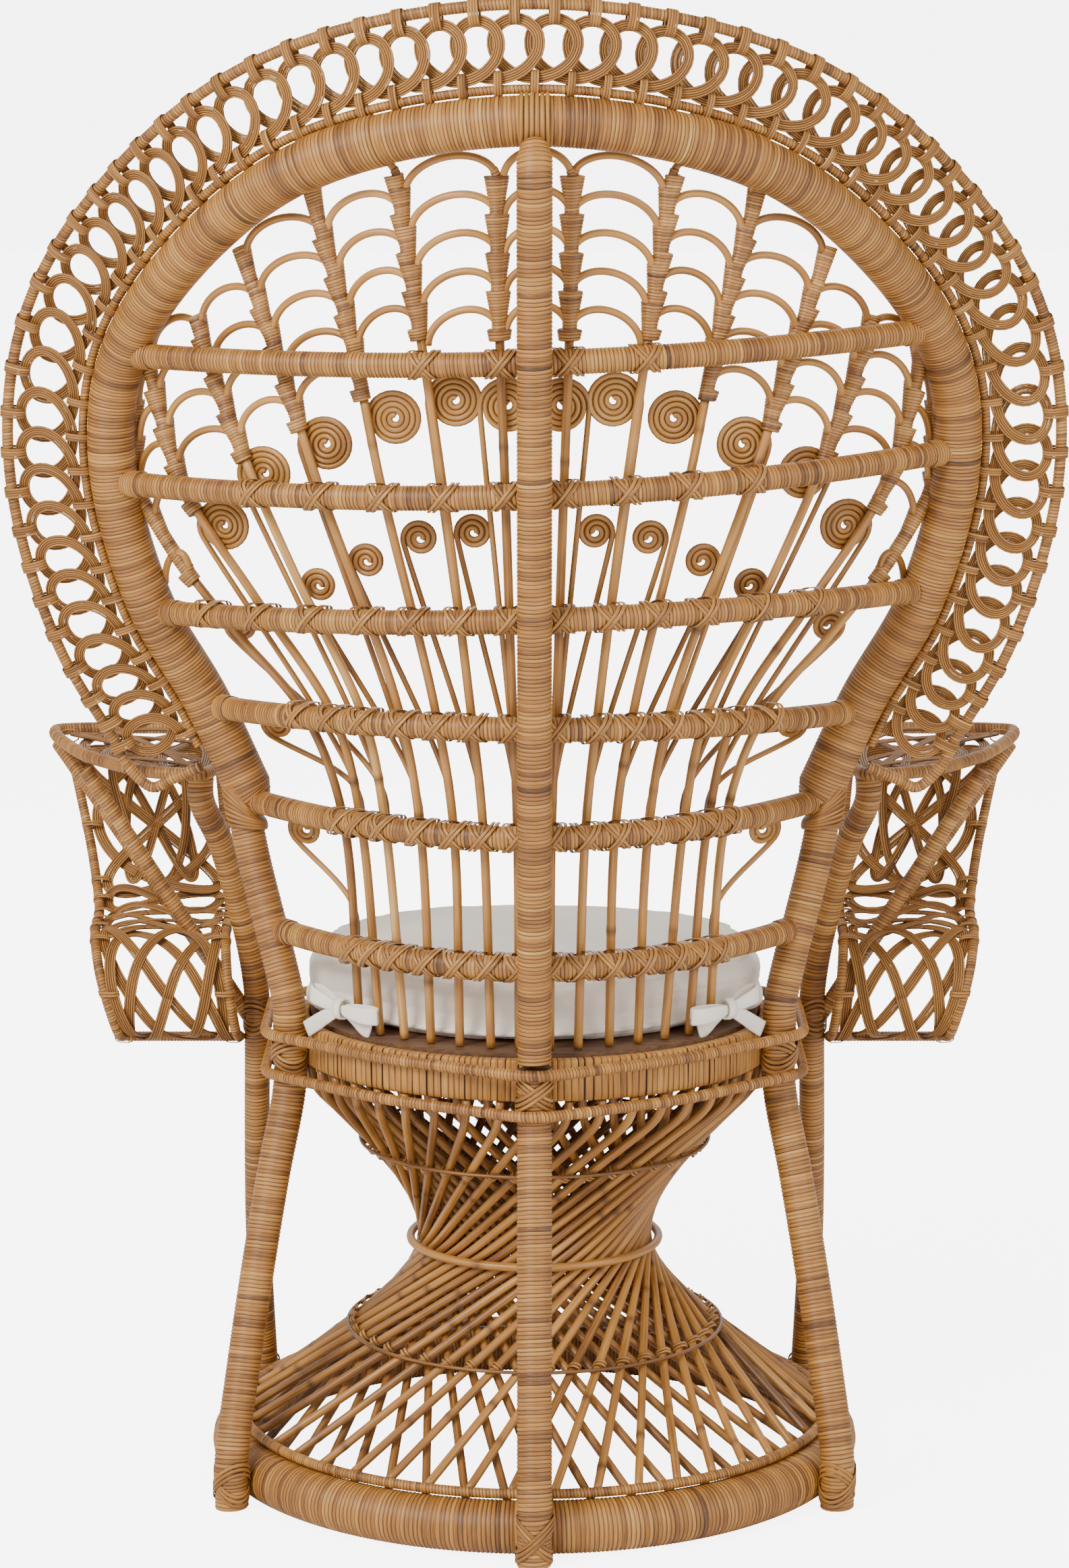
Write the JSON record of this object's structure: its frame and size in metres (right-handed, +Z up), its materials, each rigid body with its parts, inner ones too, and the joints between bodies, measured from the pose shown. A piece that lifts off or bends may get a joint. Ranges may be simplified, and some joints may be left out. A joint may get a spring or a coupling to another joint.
{
  "type": "peacock chair",
  "caption": "High-backed armchair with a round arched back of open canework, a looped crown edge, laced arms and a round cushioned seat on an hourglass of rods.",
  "frame": {"origin": "on the floor, under the middle of the whole chair's plan", "axes": "+Z up, +Y the way the sitter faces, +X to the right as seen from behind"},
  "size_m": [1.0592, 0.7466, 1.5069],
  "materials": {
    "wrapped_rattan": "satin",
    "core_lace": "satin",
    "peeled_cane": "satin",
    "cushion_cloth": "matte",
    "tie_cloth": "matte"
  },
  "bodies": {
    "root": {"main_arch": "wrapped_rattan", "crown_inner_hoop": "wrapped_rattan", "crown_outer_rim": "wrapped_rattan", "crown_lace_1": "core_lace", "crown_lace_2": "core_lace", "crown_lace_3": "core_lace", "crown_lace_4": "core_lace", "crown_lace_5": "core_lace", "crown_lace_6": "core_lace", "base_ring": "wrapped_rattan", "base_thin_hoop": "wrapped_rattan", "rear_side_post_right": "wrapped_rattan", "rear_side_post_left": "wrapped_rattan", "front_pole_right": "wrapped_rattan", "front_pole_left": "wrapped_rattan", "rear_centre_leg": "wrapped_rattan", "rear_spine": "wrapped_rattan", "back_rail_1": "wrapped_rattan", "back_rail_2": "wrapped_rattan", "back_rail_3": "wrapped_rattan", "back_rail_4": "wrapped_rattan", "back_rail_5": "wrapped_rattan", "back_rail_6": "wrapped_rattan", "back_spoke_right_1": "peeled_cane", "back_spoke_left_1": "peeled_cane", "back_spoke_right_2": "peeled_cane", "back_spoke_left_2": "peeled_cane", "back_spoke_right_3": "peeled_cane", "back_spoke_left_3": "peeled_cane", "back_spoke_right_4": "peeled_cane", "back_spoke_left_4": "peeled_cane", "back_spoke_right_5": "peeled_cane", "back_spoke_left_5": "peeled_cane", "back_spoke_right_6": "peeled_cane", "back_spoke_left_6": "peeled_cane", "back_spoke_right_7": "peeled_cane", "back_spoke_left_7": "peeled_cane", "seat_apron": "wrapped_rattan", "seat_deck": "peeled_cane", "seat_hoop_upper": "wrapped_rattan", "seat_hoop_lower": "wrapped_rattan", "seat_cushion": "cushion_cloth", "cushion_tie_right": "tie_cloth", "cushion_tie_left": "tie_cloth", "hourglass_rods_1": "peeled_cane", "hourglass_rods_2": "peeled_cane", "hourglass_rods_3": "peeled_cane", "hourglass_rods_4": "peeled_cane", "waist_ring": "peeled_cane", "binding_upper": "peeled_cane", "binding_lower": "peeled_cane", "arm_top_right": "core_lace", "arm_top_left": "core_lace", "arm_panel_right": "core_lace", "arm_panel_left": "core_lace", "arm_brace_rear_right": "wrapped_rattan", "arm_brace_rear_left": "wrapped_rattan", "arm_brace_front_right": "wrapped_rattan", "arm_brace_front_left": "wrapped_rattan"}
  },
  "joints": []
}
